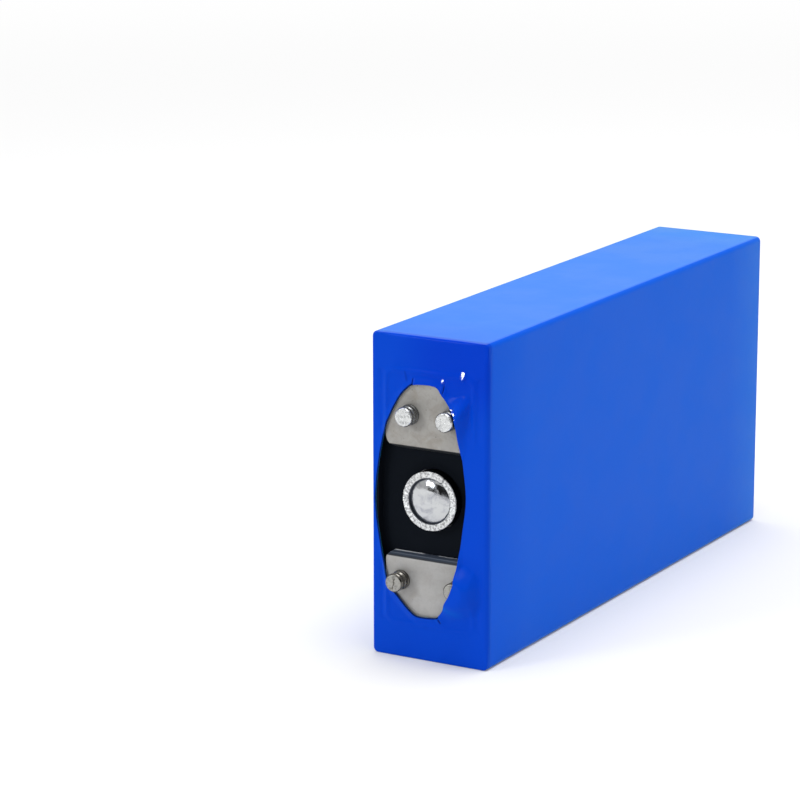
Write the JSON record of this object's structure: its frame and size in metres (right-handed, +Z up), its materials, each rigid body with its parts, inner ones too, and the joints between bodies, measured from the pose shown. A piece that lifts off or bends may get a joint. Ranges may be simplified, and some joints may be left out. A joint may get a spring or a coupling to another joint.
{
  "type": "prismatic battery cell",
  "caption": "Prismatic lithium cell in a blue shrink film, with a recessed black end cap, formed nickel terminal plates, round terminal posts and a domed burst vent.",
  "frame": {"origin": "middle of the box's underside, on the surface that the cell lies on", "axes": "+Y runs along the length from the terminal end to the base, +X across the thickness, +Z up to the other narrow long face, with the positive terminal above"},
  "size_m": [0.0276, 0.138, 0.07],
  "materials": {
    "blue_film": "glossy heat-shrunk PVC film",
    "base_patch": "matt insulating fibre sheet",
    "black_plastic": "satin moulded plastic",
    "can_aluminium": "drawn aluminium",
    "vent_aluminium": "bead-welded aluminium, rough",
    "disc_aluminium": "bright pressed aluminium",
    "nickel": "satin nickel plate with faint stains",
    "post_aluminium": "sheared aluminium, grainy end",
    "post_plated": "polished plated metal",
    "seal_plastic": "fluoropolymer",
    "insulator_plastic": "moulded polypropylene",
    "copper": "bright copper",
    "positive_coating": "dark coated foil",
    "negative_coating": "graphite coated foil",
    "separator_film": "porous white film",
    "tape": "green polyester tape",
    "bag_film": "pale polyester sheet"
  },
  "bodies": {
    "root": {"shrink_film": "blue_film", "base_patch": "base_patch", "end_cap": "black_plastic", "can": "can_aluminium", "lid_plate": "can_aluminium", "vent_ring": "vent_aluminium", "burst_disc": "disc_aluminium", "fill_plug": "can_aluminium", "positive_terminal_plate": "nickel", "negative_terminal_plate": "nickel", "positive_post_left": "post_aluminium", "positive_post_right": "post_aluminium", "negative_post_left": "post_plated", "negative_post_right": "post_plated", "positive_seal_left": "seal_plastic", "positive_seal_right": "seal_plastic", "negative_seal_left": "seal_plastic", "negative_seal_right": "seal_plastic", "positive_inner_insulator": "insulator_plastic", "negative_inner_insulator": "insulator_plastic", "positive_collector": "can_aluminium", "negative_collector": "copper", "positive_tabs_left": "can_aluminium", "positive_tabs_right": "can_aluminium", "negative_tabs_left": "copper", "negative_tabs_right": "copper", "positive_electrode_left": "positive_coating", "positive_electrode_right": "positive_coating", "negative_electrode_left": "negative_coating", "negative_electrode_right": "negative_coating", "inner_separator_left": "separator_film", "inner_separator_right": "separator_film", "outer_separator_left": "separator_film", "outer_separator_right": "separator_film", "binding_tape_front": "tape", "binding_tape_rear": "tape", "insulation_bag": "bag_film", "bottom_spacer": "insulator_plastic"}
  },
  "joints": []
}
